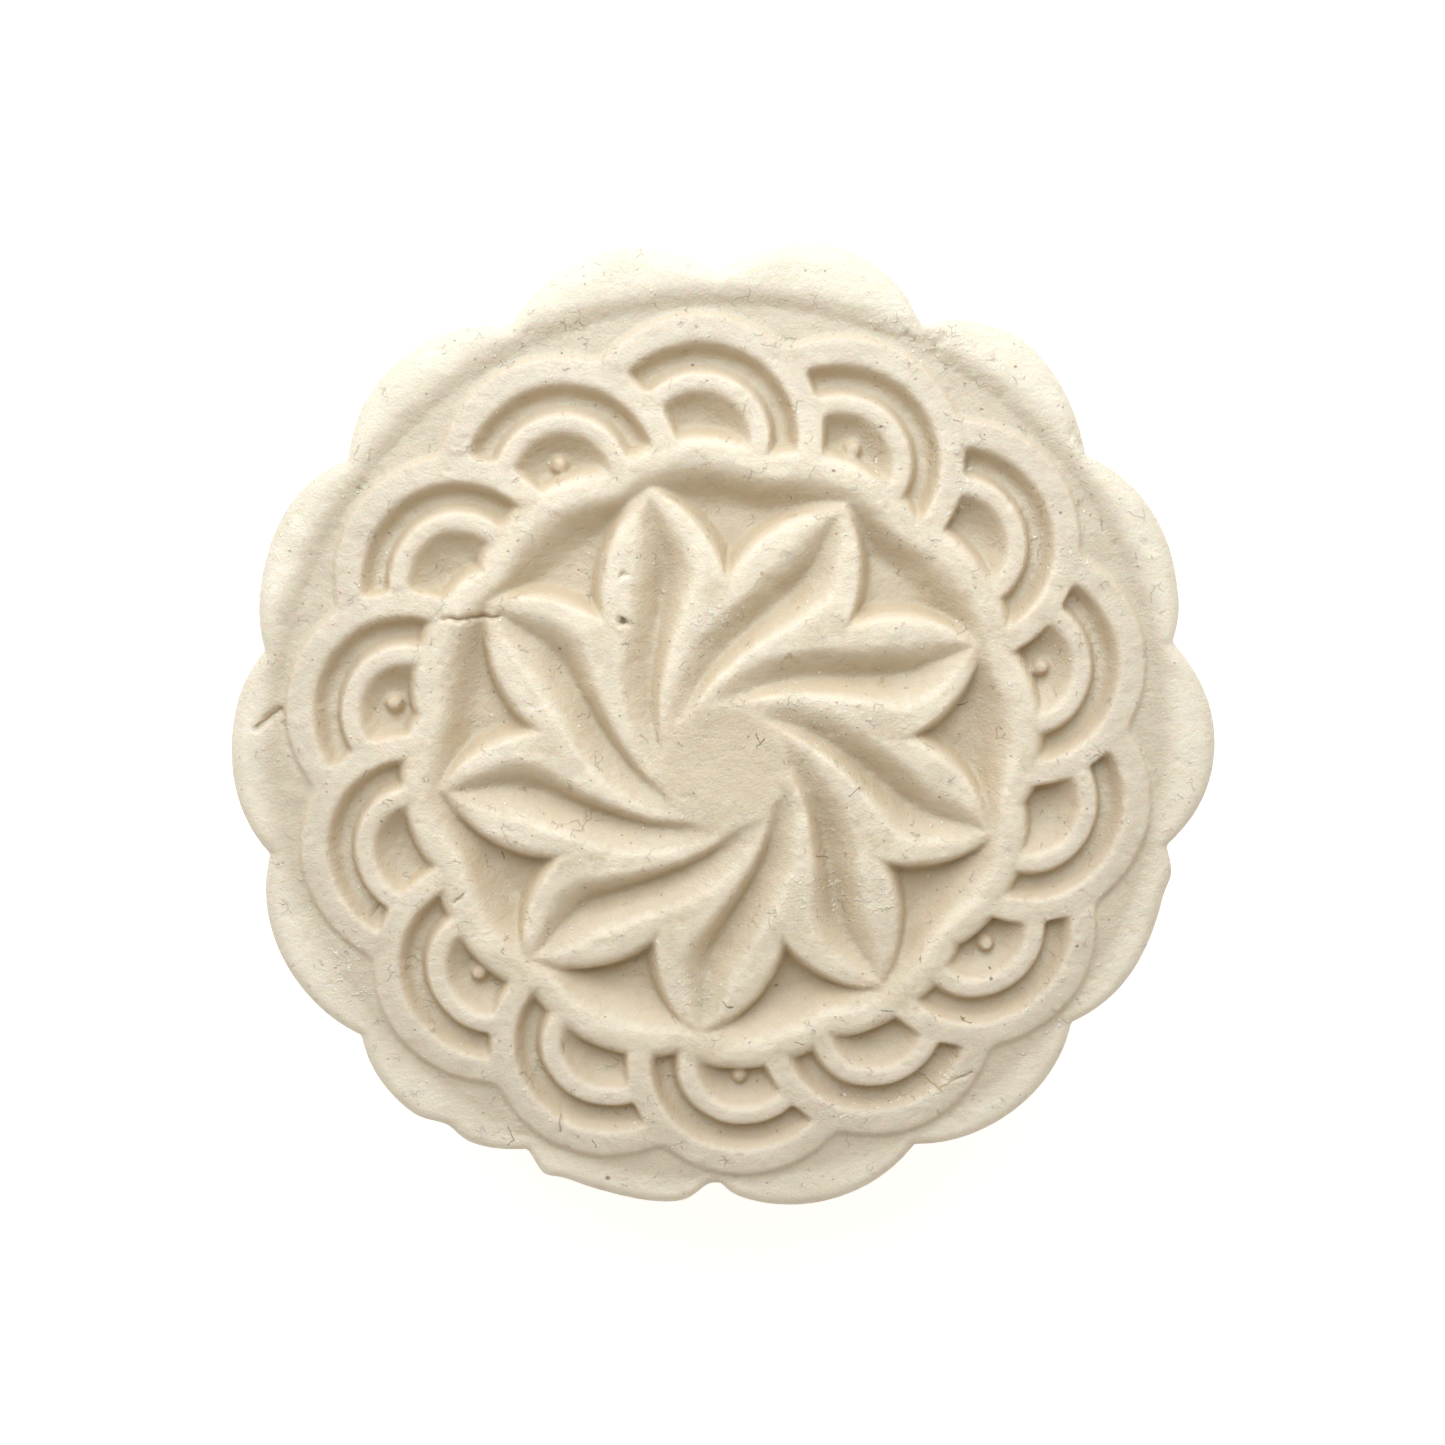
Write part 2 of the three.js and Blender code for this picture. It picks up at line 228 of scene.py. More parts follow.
def wrapped(angle, step):
    """The angle brought into the range from -step/2 to step/2."""
    return (angle + step / 2) % step - step / 2


# ---------------------------------------------------------------- height map

AXIS = np.arange(-MAP_HALF, MAP_HALF + MAP_STEP / 2, MAP_STEP)
MAP_X, MAP_Y = np.meshgrid(AXIS, AXIS)


def blur(height, softness):
    """Gaussian blur of a map, softness being its standard deviation in millimetres."""
    rows = np.fft.fftfreq(height.shape[0], MAP_STEP)[:, None]
    columns = np.fft.rfftfreq(height.shape[1], MAP_STEP)[None, :]
    kernel = np.exp(-2 * (math.pi * softness) ** 2 * (rows**2 + columns**2))
    return np.fft.irfft2(np.fft.rfft2(height) * kernel, height.shape)


def noise(rng, size):
    """Smooth random map with features of about this size, mean 0 and deviation 1."""
    field = blur(rng.standard_normal(MAP_X.shape), size / 3)
    return (field - field.mean()) / field.std()


def sample(height, x, y):
    """The map's value at points, between its four nearest samples."""
    column = np.clip((x + MAP_HALF) / MAP_STEP, 0, height.shape[1] - 1.001)
    row = np.clip((y + MAP_HALF) / MAP_STEP, 0, height.shape[0] - 1.001)
    c, r = column.astype(int), row.astype(int)
    u, v = column - c, row - r
    upper = height[r + 1, c] * (1 - u) + height[r + 1, c + 1] * u
    lower = height[r, c] * (1 - u) + height[r, c + 1] * u
    return lower * (1 - v) + upper * v


def rim_and_ground(radius, angle):
    """The ground outside the fans and the rim's inner wall; on one side the rim is rubbed down low."""
    share = np.clip((RIM_TOP_RADIUS - radius) / (RIM_TOP_RADIUS - RIM_FOOT_RADIUS), 0, 1)
    rise = 1 - RIM_LOSS * np.maximum(0, np.cos(angle - LOW_RIM_ANGLE))
    return GROUND_LEVEL * (1 - rise * (1 - share**RIM_STEEPNESS))


def fan_height(distance):
    """Height of one fan at a distance from its own centre."""
    return np.interp(distance, *zip(*FAN_PROFILE))


def fan_distance(x, y, axis_angle):
    """Distance from a fan's centre, and the same with the fan's rings made a little wider sideways."""
    along = x * np.cos(axis_angle) + y * np.sin(axis_angle) - FAN_CENTRE_RADIUS
    across = y * np.cos(axis_angle) - x * np.sin(axis_angle)
    distance = np.hypot(along, across)
    sideways = (across / np.maximum(distance, 1e-6)) ** 2
    return distance, distance / (1 + RING_WIDENING * sideways * (1 - smoothstep(*WIDENING_END, distance)))


def lay_fans(base, x, y, angle):
    """Fans over the ground, each one over its clockwise neighbour."""
    step = TURN / FANS
    clockwise_axis = FIRST_FAN_ANGLE + np.floor((angle - FIRST_FAN_ANGLE) / step) * step
    hidden, hidden_ring = fan_distance(x, y, clockwise_axis)
    near, near_ring = fan_distance(x, y, clockwise_axis + step)
    inside = smooth_max(FAN_RADIUS - hidden, FAN_RADIUS - near, CUSP_FILL)
    platform = base * (1 - smoothstep(-FAN_WALL, FAN_WALL, inside))
    cover = smoothstep(-FAN_WALL, FAN_WALL / 2, FAN_RADIUS - near)
    relief = fan_height(hidden_ring) * (1 - cover) + fan_height(near_ring) * cover
    return platform + relief * (inside > -FAN_WALL)


def add_pips(height, x, y):
    for index in range(0, FANS, 2):
        angle = FIRST_FAN_ANGLE + index * TURN / FANS - PIP_LAG
        centre_x, centre_y = PIP_CENTRE_RADIUS * math.cos(angle), PIP_CENTRE_RADIUS * math.sin(angle)
        distance = np.hypot(x - centre_x, y - centre_y)
        inner, outer = (PIP_RADIUS + edge for edge in PIP_EDGE)
        height = height + PIP_HEIGHT * (1 - smoothstep(inner, outer, distance))
    return height


def scalloped(edge, angle):
    cusp, peak, fullness = edge
    bulge = np.abs(np.sin((angle - FIRST_CUSP_ANGLE) * SCALLOPS / 2)) ** fullness
    return cusp + (peak - cusp) * bulge


def lay_band(base, radius, angle):
    outer = scalloped(BAND_OUTER, angle)
    inner = scalloped(BAND_INNER, angle)
    inwards = outer - radius
    crest = BAND_CROWN_LEVEL - BAND_EDGE_DROP * np.clip(1 - inwards / BAND_EDGE_ROUNDING, 0, 1) ** 2
    shoulder = inner + BAND_SHOULDER
    share = np.clip((shoulder - radius) / (shoulder - FLOOR_RADIUS), 0, 1)
    crest = crest + (FLOOR_LEVEL - BAND_CROWN_LEVEL) * smoothstep(0, 1, share)
    wall = BAND_CROWN_LEVEL - BAND_EDGE_DROP + BAND_SIDE_SLOPE * inwards
    within = np.where(inwards > BAND_OVERLAP, crest, np.maximum(base, crest))
    return np.where(inwards > 0, within, np.maximum(base, wall))


def petal_outline(from_tip):
    """Outline radius at an angle from the petal's tip, and the slope of the outline there."""
    leading = from_tip < 0
    span = np.where(leading, PETAL_LEADING_ANGLE, PETAL_TRAILING_ANGLE)
    point = np.where(leading, PETAL_LEADING_POINT, PETAL_TRAILING_POINT)
    share = np.abs(from_tip) / span
    length = PETAL_TIP_RADIUS - PETAL_NOTCH_RADIUS
    radius = PETAL_TIP_RADIUS - length * (point * share + (1 - point) * share**2)
    return radius, length * (point + 2 * (1 - point) * share) / span


def swirl(radius):
    inwards = np.log(SWIRL_START_RADIUS / np.clip(radius, DISC_RADIUS, SWIRL_START_RADIUS))
    return SWIRL_ANGLE * inwards**SWIRL_POWER


def flower_top(radius, from_valley):
    """Top of the flower: steep on the valleys' leading side, a long round slope on the other."""
    fall = smoothstep(TIP_SLOPE_START, PETAL_TIP_RADIUS, radius)
    level = FLOWER_LEVEL + (TIP_LEVEL - FLOWER_LEVEL) * fall
    widened = 1 - smoothstep(VALLEY_WIDEST_RADIUS, VALLEY_EVEN_RADIUS, radius)
    trailing = VALLEY_TRAILING_WIDTH + VALLEY_WIDENING * widened
    width = np.where(from_valley < 0, VALLEY_LEADING_WIDTH, trailing)
    outer = (VALLEY_OUTER_RADIUS - radius) / (VALLEY_OUTER_RADIUS - VALLEY_DEEPEST_RADIUS)
    outer = np.clip(outer, 0, 1)
    flank = from_valley / (width * np.maximum(outer, NARROWEST) ** VALLEY_TAPER)
    flank = np.clip(np.hypot(flank, VALLEY_BLUNTNESS), 0, 1)
    inner = np.clip((radius - DISC_RADIUS) / (VALLEY_DEEPEST_RADIUS - DISC_RADIUS), 0, 1)
    depth = VALLEY_DEPTH * np.minimum(np.sin(inner * math.pi / 2) ** VALLEY_RISE, outer**VALLEY_FALL)
    roundness = np.where(from_valley < 0, VALLEY_LEADING_ROUNDNESS, VALLEY_TRAILING_ROUNDNESS)
    return level - depth * (1 - flank) ** roundness


def lay_flower(base, radius, angle):
    step = TURN / PETALS
    from_tip = (angle - FIRST_TIP_ANGLE + PETAL_LEADING_ANGLE) % step - PETAL_LEADING_ANGLE
    outline, slope = petal_outline(from_tip)
    from_edge = (outline - radius) / np.sqrt(1 + (slope / outline) ** 2)
    turn = (angle - FIRST_TIP_ANGLE - swirl(radius) + PETAL_LEADING_REACH) % step
    from_valley = turn - PETAL_LEADING_REACH
    rounding = np.where(from_tip < 0, PETAL_LEADING_ROUNDING, PETAL_TRAILING_ROUNDING)
    near = np.clip(1 - from_edge / rounding, 0, 1)
    drop = rounding * (1 - np.sqrt(1 - near**2)) + np.clip(-from_edge, 0, None) * PETAL_SIDE_SLOPE
    return np.maximum(base, flower_top(radius, from_valley) - drop)


def relief_map():
    x, y = MAP_X - RELIEF_CENTRE[0], MAP_Y - RELIEF_CENTRE[1]
    radius, angle = np.hypot(x, y), np.arctan2(y, x)
    height = rim_and_ground(radius, angle)
    height = lay_fans(height, x, y, angle)
    height = add_pips(height, x, y)
    height = lay_band(height, radius, angle)
    x, y = x - FLOWER_SHIFT[0], y - FLOWER_SHIFT[1]
    height = lay_flower(height, np.hypot(x, y), np.arctan2(y, x))
    return blur(height, PRESS_SOFTNESS)


def place(angle, radius):
    """A point of the part's frame from degrees and millimetres about the relief's centre."""
    turn = angle * DEG
    return RELIEF_CENTRE[0] + radius * math.cos(turn), RELIEF_CENTRE[1] + radius * math.sin(turn)


def line_distance(x, y, start, end):
    (x0, y0), (x1, y1) = place(*start), place(*end)
    length = math.hypot(x1 - x0, y1 - y0)
    along = np.clip(((x - x0) * (x1 - x0) + (y - y0) * (y1 - y0)) / length**2, 0, 1)
    return np.hypot(x - x0 - along * (x1 - x0), y - y0 - along * (y1 - y0))


def add_spot(height, x, y, size, rise):
    """A small round bump, or a pit when the rise is negative, added to the map in place."""
    reach = math.ceil(3 * size / MAP_STEP)
    column, row = round((x + MAP_HALF) / MAP_STEP), round((y + MAP_HALF) / MAP_STEP)
    window = slice(row - reach, row + reach + 1), slice(column - reach, column + reach + 1)
    squared = (MAP_X[window] - x) ** 2 + (MAP_Y[window] - y) ** 2
    height[window] += rise * np.exp(-squared / size**2)


def weathered(height, rng):
    """Adds the lumps, grain, pits, crumbs, cracks and the chip of pressed soap."""
    for lump_height, size in LUMPS:
        height = height + lump_height * noise(rng, size)
    for count, smallest, largest, rise in PITS_AND_CRUMBS:
        for _ in range(count):
            radius = STREWN_RADIUS * math.sqrt(rng.random())
            angle = TURN * rng.random()
            size = smallest + (largest - smallest) * rng.random() ** 2
            x, y = radius * math.cos(angle), radius * math.sin(angle)
            add_spot(height, x, y, size, rise * (0.4 + rng.random()))
    x = MAP_X + CRACK_WANDER * noise(rng, CRACK_WANDER_SIZE)
    y = MAP_Y + CRACK_WANDER * noise(rng, CRACK_WANDER_SIZE)
    for start, end, width, depth in CRACKS:
        height -= depth * np.exp(-(line_distance(x, y, start, end) / width) ** 2)
    crumbly = noise(rng, CRUMBLE_SIZE)
    for start, end, width, depth in CRUMBLED:
        distance = line_distance(x, y, start, end) + CRUMBLE_EDGE * crumbly
        share = 1 - smoothstep(width * 0.5, width, distance)
        height -= share * depth * (1 + 0.45 * crumbly)
    return height


# ---------------------------------------------------------------- mesh

def lobed_radius(angle):
    """Radius of the tablet's outline: equal circular lobes that meet in notches."""
    half_step = math.pi / LOBES
    half_chord = NOTCH_RADIUS * math.sin(half_step)
    rise = LOBE_RADIUS - NOTCH_RADIUS * math.cos(half_step)
    arc = (half_chord**2 + rise**2) / (2 * rise)
    centre = LOBE_RADIUS - arc
    from_axis = wrapped(angle, 2 * half_step)
    own, other = (
        centre * np.cos(a) + np.sqrt(np.maximum(arc**2 - (centre * np.sin(a)) ** 2, 0))
        for a in (from_axis, 2 * half_step - np.abs(from_axis))
    )
    outline = smooth_max(own, other, NOTCH_SOFTNESS)
    for middle, width, depth in DENTS:
        from_middle = wrapped(angle - middle * DEG, TURN) / (width * DEG)
        outline = outline - depth * np.exp(-from_middle ** 2)
    return outline


def ring_start(ring):
    return 1 + 3 * ring * (ring - 1)


def disc_triangles(rings):
    """Triangles of a disc of rings, where ring i has 6 i vertices and vertex 0 is the centre."""
    faces = [np.stack([np.zeros(6, int), 1 + np.arange(6), 1 + (np.arange(6) + 1) % 6], 1)]
    for ring in range(2, rings + 1):
        sector, along = np.divmod(np.arange(6 * ring), ring)
        outer = ring_start(ring) + np.arange(6 * ring)
        outer_next = ring_start(ring) + (np.arange(6 * ring) + 1) % (6 * ring)
        inner = ring_start(ring - 1) + (sector * (ring - 1) + along) % (6 * (ring - 1))
        inner_next = ring_start(ring - 1) + (sector * (ring - 1) + along + 1) % (6 * (ring - 1))
        faces.append(np.stack([outer, outer_next, inner], 1))
        within = along < ring - 1
        faces.append(np.stack([inner, outer_next, inner_next], 1)[within])
    return np.concatenate(faces)


def disc_points(rings):
    """Each disc vertex as a share of the radius and an angle."""
    share, angle = [np.zeros(1)], [np.zeros(1)]
    for ring in range(1, rings + 1):
        share.append(np.full(6 * ring, ring / rings))
        angle.append(np.arange(6 * ring) * TURN / (6 * ring))
    return np.concatenate(share), np.concatenate(angle)


def domed(x, y, z):
    """Heights measured from the crest level, laid over the dome and lifted to the puck's frame."""
    share = np.clip((z + DOME_DEPTH) / DOME_DEPTH, 0, 1)
    return CREST_HEIGHT + z - DOME * (x**2 + y**2) * share


def wall_relief(rng, rows, columns):
    """Depths of the side wall: lines dragged up by the press cup, slow lumps, grain and pits."""
    def field(along, around):
        down = np.fft.fftfreq(rows)[:, None] * along
        across = np.fft.rfftfreq(columns)[None, :] * around
        kernel = np.exp(-2 * math.pi**2 * (down**2 + across**2))
        grain = np.fft.rfft2(rng.standard_normal((rows, columns)))
        pattern = np.fft.irfft2(grain * kernel, (rows, columns))
        return pattern / pattern.std()

    pits = smoothstep(*WALL_PIT_RARITY, field(*WALL_PIT_SIZE))
    marks = sum(depth * field(along, around) for depth, along, around in WALL_MARKS)
    return marks - WALL_PIT_DEPTH * pits


def column_rows(angle, height, rng):
    """Rows of points down the rounded edge, the side, the base's edge and across the base."""
    outline = lobed_radius(angle)
    rows = []
    for row in range(1, ROUNDING_ROWS + 1):
        turn = row / ROUNDING_ROWS * math.pi / 2
        radius = outline - EDGE_ROUNDING * (1 - math.sin(turn))
        x, y = radius * np.cos(angle), radius * np.sin(angle)
        fade = 1 - row / ROUNDING_ROWS
        z = sample(height, x, y) * fade - EDGE_ROUNDING * (1 - math.cos(turn))
        rows.append((x, y, domed(x, y, z)))
    top = rows[-1][2]
    wall_rows = round((CREST_HEIGHT - BASE_ROUNDING) / WALL_STEP)
    relief = wall_relief(rng, wall_rows, len(angle))
    waver = BASE_WAVER * wall_relief(rng, wall_rows, len(angle))[0] / BASE_WAVER_DEPTH
    edge = np.clip(BASE_ROUNDING * (1 + waver), *BASE_EDGE_LIMITS)
    for row in range(1, wall_rows + 1):
        share = row / wall_rows
        z = top + (edge - top) * share
        fade = smoothstep(0, MARKS_FADE_IN, share) * (1 - smoothstep(MARKS_FADE_OUT, 1, share))
        radius = outline + relief[row - 1] * fade
        rows.append((radius * np.cos(angle), radius * np.sin(angle), z))
    for row in range(1, BASE_EDGE_ROWS + 1):
        turn = row / BASE_EDGE_ROWS * math.pi / 2
        radius = outline - edge * (1 - math.cos(turn))
        z = edge * (1 - math.sin(turn))
        rows.append((radius * np.cos(angle), radius * np.sin(angle), z))
    for row in range(1, BASE_ROWS):
        radius = (outline - edge) * (1 - row / BASE_ROWS)
        rows.append((radius * np.cos(angle), radius * np.sin(angle), np.zeros_like(angle)))
    return rows


def band_triangles(upper, lower, columns):
    """Triangles between two rows of vertices, upper and lower being their first indices."""
    here, following = np.arange(columns), (np.arange(columns) + 1) % columns
    first = np.stack([upper + here, lower + here, lower + following], 1)
    second = np.stack([upper + here, lower + following, upper + following], 1)
    return np.concatenate([first, second])


def puck_mesh(height, rng):
    share, angle = disc_points(RINGS)
    radius = share * (lobed_radius(angle) - EDGE_ROUNDING)
    x, y = radius * np.cos(angle), radius * np.sin(angle)
    points = [np.stack([x, y, domed(x, y, sample(height, x, y))], 1)]
    faces = [disc_triangles(RINGS)]
    columns = 6 * RINGS
    start = ring_start(RINGS)
    count = len(x)
    for row in column_rows(np.arange(columns) * TURN / columns, height, rng):
        points.append(np.stack(row, 1))
        faces.append(band_triangles(start, count, columns))
        start, count = count, count + columns
    points.append(np.zeros((1, 3)))
    here, following = start + np.arange(columns), start + (np.arange(columns) + 1) % columns
    faces.append(np.stack([here, np.full(columns, count), following], 1))
    return np.concatenate(points), np.concatenate(faces)


def mesh_from(name, points, faces):
    mesh = bpy.data.meshes.new(name)
    mesh.vertices.add(len(points))
    mesh.vertices.foreach_set("co", (points * MM).ravel())
    mesh.loops.add(faces.size)
    mesh.loops.foreach_set("vertex_index", faces.ravel())
    mesh.polygons.add(len(faces))
    mesh.polygons.foreach_set("loop_start", np.arange(0, faces.size, 3))
    mesh.update(calc_edges=True)
    mesh.validate()
    mesh.shade_smooth()
    return mesh


def thinned(piece):
    """Spends the triangles where the surface bends, and leaves few on flat stretches."""
    modifier = piece.modifiers.new("thin", "DECIMATE")
    modifier.ratio = min(1, MOST_TRIANGLES / len(piece.data.polygons))
    depsgraph = bpy.context.evaluated_depsgraph_get()
    mesh = bpy.data.meshes.new_from_object(piece.evaluated_get(depsgraph))
    piece.modifiers.remove(modifier)
    piece.data = mesh
    mesh.shade_smooth()


def mark_relief(piece, height):
    """Stores three things on each vertex: how far it lies below the surface round it in millimetres
    (hollow) and the steepness of the relief (steep), both 0 off the top, and how near it is to the side
    (edge), from 0 on the top to 1 where the side begins."""
    places = np.empty(3 * len(piece.data.vertices))
    piece.data.vertices.foreach_get("co", places)
    x, y, z = places.reshape(-1, 3).T / MM
    from_side = lobed_radius(np.arctan2(y, x)) - np.hypot(x, y)
    on_top = np.clip(from_side, 0, 1) * (z > CREST_HEIGHT / 2)
    slopes = np.gradient(blur(height, STEEP_REACH), MAP_STEP)
    hollow = sample(blur(height, HOLLOW_REACH) - height, x, y) * on_top
    steep = sample(np.hypot(*slopes), x, y) * on_top
    for name, values in (("hollow", hollow), ("steep", steep), ("edge", 1 - on_top)):
        piece.data.attributes.new(name, "FLOAT", "POINT").data.foreach_set("value", values)


# ---------------------------------------------------------------- looks

SOAP = (0.675, 0.61, 0.475, 1)
# Painted highlight on the crests, partly the paleness of rubbed crests; also the pale cloudy patches.
SOAP_PALE_AND_CREST_HIGHLIGHT = (0.79, 0.745, 0.625, 1)
# Painted shade in the hollows; also the darker cloudy patches.
SOAP_DARK_AND_HOLLOW_SHADE = (0.555, 0.485, 0.36, 1)
SOAP_DRY = (0.655, 0.62, 0.53, 1)
# Painted highlight on the rim, partly a dry whitish skin; also the white powder flecks.
SOAP_CHALK_AND_RIM_HIGHLIGHT = (0.88, 0.87, 0.76, 1)
# Painted shade on the rounded edge and the side.
SOAP_EDGE_SHADE = (0.60, 0.57, 0.47, 1)
SOAP_SIDE = (0.69, 0.64, 0.52, 1)
# Painted shade on the steep walls of the relief; also the streaks down the side.
SOAP_STREAK_AND_WALL_SHADE = (0.58, 0.465, 0.31, 1)
SOAP_GREY = (0.62, 0.585, 0.48, 1)
PORE = (0.40, 0.31, 0.19, 1)
CRUMB = (0.50, 0.385, 0.22, 1)
DIRT = (0.09, 0.06, 0.035, 1)

# Millimetres below the crests where the side's look begins and is full, and where marks are full and end
SIDE_START = 1.2
SIDE_FULL = 4.0
MARKS_FULL = 5.5
MARKS_END = 7.5
STREAK_STRETCH = 0.07
BUMP_HEIGHT = 0.1

# Light under the surface: its share, its reach in red, green and blue, and the reach's unit in millimetres
GLOW_SHARE = 0.4
GLOW_REACH = (1.0, 0.45, 0.2)
GLOW_SCALE = 0.45

# Lint lies on the soap: start, end and width of each fibre, placed like the cracks.
LINT = (
    ((25, 2.2), (31, 3.0), 0.04), ((28, 2.6), (42, 2.8), 0.035), ((314, 8.6), (316.5, 9.4), 0.04),
    ((345, 8.3), (348, 8.9), 0.035), ((240, 28.3), (241.5, 28.8), 0.04),
    ((241.5, 28.8), (240.8, 29.3), 0.04), ((270, 15.6), (272, 16.1), 0.04),
    ((284, 19.1), (285.6, 19.4), 0.035), ((301.5, 19.3), (303, 19.9), 0.035),
    ((160, 9.2), (162, 9.6), 0.035), ((203, 15.5), (205, 15.8), 0.035), ((98, 6.9), (101, 6.7), 0.035),
    ((251, 26.6), (251.8, 27.1), 0.035), ((312, 23.3), (312.5, 24.0), 0.035),
    ((12, 15.3), (12.4, 16.1), 0.035),
)
# Chalky places, where white flecks lie close: start, end and width.
CHALKY = (
    ((62, 29.2), (67, 29.0), 1.6), ((52, 24.5), (47, 22.0), 0.9), ((64.5, 22.5), (62, 19.5), 0.8),
    ((33, 24.0), (29, 25.5), 1.0), ((41, 30), (38, 29.5), 0.9), ((42, 5.5), (20, 6.5), 1.3),
    ((205, 27.0), (212, 28.0), 1.2), ((300, 10.0), (318, 13.0), 1.4), ((250, 13.5), (262, 15.5), 1.3),
    ((285, 24.5), (305, 26.0), 1.0), ((88, 9.5), (100, 8.0), 1.0),
)
# Specks: place and radius.
SPECKS = (
    ((145, 12.5), 0.11), ((283, 15.6), 0.1), ((331.5, 26.1), 0.12), ((320, 22.6), 0.13), ((321, 22.3), 0.08),
    ((254.5, 29.1), 0.16), ((64.5, 23.2), 0.1), ((94, 24.7), 0.1), ((69, 19.4), 0.1), ((124.5, 10.9), 0.2),
    ((36, 26.3), 0.09), ((111, 27.2), 0.08), ((190, 22), 0.07), ((222, 12), 0.07), ((350, 14), 0.08),
)


class Graph:
    """Adds and links the nodes of one material, in millimetres of the part's own frame."""

    def __init__(self, tree):
        self.tree = tree
        coordinates = tree.nodes.new("ShaderNodeTexCoord").outputs["Object"]
        self.point = self.vector("SCALE", coordinates, scale=1 / MM)

    def connect(self, value, socket):
        if isinstance(value, bpy.types.NodeSocket):
            self.tree.links.new(value, socket)
        else:
            socket.default_value = value

    def math(self, operation, *values):
        node = self.tree.nodes.new("ShaderNodeMath")
        node.operation = operation
        for value, socket in zip(values, node.inputs):
            self.connect(value, socket)
        return node.outputs[0]

    def vector(self, operation, *values, scale=None, output="Vector"):
        node = self.tree.nodes.new("ShaderNodeVectorMath")
        node.operation = operation
        for value, socket in zip(values, node.inputs):
            self.connect(value, socket)
        if scale is not None:
            self.connect(scale, node.inputs["Scale"])
        return node.outputs[output]

    def stored(self, name):
        """A number stored on the mesh's vertices."""
        node = self.tree.nodes.new("ShaderNodeAttribute")
        node.attribute_name = name
        return node.outputs["Fac"]

    def ramp(self, value, start, end, low=0.0, high=1.0):
        """Smooth change from low to high while value goes from start to end."""
        node = self.tree.nodes.new("ShaderNodeMapRange")
        node.interpolation_type = "SMOOTHSTEP"
        for item, socket in zip((value, start, end, low, high), node.inputs):
            self.connect(item, socket)
        return node.outputs["Result"]

    def noise(self, size, detail=2.0, roughness=0.5, point=None):
        node = self.tree.nodes.new("ShaderNodeTexNoise")
        self.connect(self.point if point is None else point, node.inputs["Vector"])
        node.inputs["Scale"].default_value = 1 / size
        node.inputs["Detail"].default_value = detail
        node.inputs["Roughness"].default_value = roughness
        return node.outputs

    def cells(self, size):
        node = self.tree.nodes.new("ShaderNodeTexVoronoi")
        self.connect(self.point, node.inputs["Vector"])
        node.inputs["Scale"].default_value = 1 / size
        return node.outputs

    def fissures(self, size):
        """Distance to the nearest line of an irregular net, in cells of about this size."""
        node = self.tree.nodes.new("ShaderNodeTexVoronoi")
        node.feature = "DISTANCE_TO_EDGE"
        wobble = self.vector("SCALE", self.noise(0.7, 2.0)["Color"], scale=0.7)
        self.connect(self.vector("ADD", self.point, wobble), node.inputs["Vector"])
        node.inputs["Scale"].default_value = 1 / size
        return node.outputs["Distance"]

    def mix(self, share, first, second):
        node = self.tree.nodes.new("ShaderNodeMix")
        node.data_type = "RGBA"
        for value, socket in zip((share, first, second), (node.inputs[0], node.inputs[6], node.inputs[7])):
            self.connect(value, socket)
        return node.outputs[2]

    def line(self, point, start, end, width):
        """Mask of a thin line from start to end on the top, whatever the height."""
        (x0, y0), (x1, y1) = place(*start), place(*end)
        span = (x1 - x0, y1 - y0, 0)
        from_start = self.vector("SUBTRACT", point, (x0, y0, 0))
        along = self.math("DIVIDE", self.vector("DOT_PRODUCT", from_start, span, output="Value"),
                          span[0] ** 2 + span[1] ** 2)
        along = self.math("MINIMUM", self.math("MAXIMUM", along, 0.0), 1.0)
        nearest = self.vector("SCALE", span, scale=along)
        distance = self.vector("DISTANCE", from_start, nearest, output="Value")
        return self.ramp(distance, width * 0.6, width * 1.4, 1.0, 0.0)

    def dots(self, size, share, radius):
        """Mask of scattered dots: one cell in a few holds a dot of about this radius."""
        cells = self.cells(size)
        chosen = self.vector("DOT_PRODUCT", cells["Color"], (1, 0, 0), output="Value")
        chosen = self.math("GREATER_THAN", chosen, 1 - share)
        return self.math("MULTIPLY", chosen, self.ramp(cells["Distance"], radius * 0.6, radius, 1.0, 0.0))


def most(graph, masks):
    total = masks[0]
    for mask in masks[1:]:
        total = graph.math("MAXIMUM", total, mask)
    return total


def pressed_colour(graph, patches, grain):
    """Painted shade darkens the hollows, and the crests are painted paler, partly as rubbed crests and
    partly as painted highlight; cloudy patches lie over both.
    """
    depth = graph.math("ADD", graph.stored("hollow"), graph.ramp(grain, 0.2, 0.8, -0.12, 0.12))
    # Painted shade: the hollows are darkened by how far they lie below the surface round them.
    colour = graph.mix(graph.ramp(depth, 0.0, 0.75), SOAP, SOAP_DARK_AND_HOLLOW_SHADE)
    # Painted highlight: the crests are paled, partly as rubbed crests.
    colour = graph.mix(graph.ramp(depth, -0.02, -0.4), colour, SOAP_PALE_AND_CREST_HIGHLIGHT)
    colour = graph.mix(graph.ramp(patches, 0.45, 0.75, 0.0, 0.3), colour, SOAP_PALE_AND_CREST_HIGHLIGHT)
    colour = graph.mix(graph.ramp(patches, 0.45, 0.2, 0.0, 0.2), colour, SOAP_DARK_AND_HOLLOW_SHADE)
    return graph.mix(graph.ramp(graph.noise(2.6, 3.0)["Fac"], 0.5, 0.72, 0.0, 0.3), colour, SOAP_GREY)


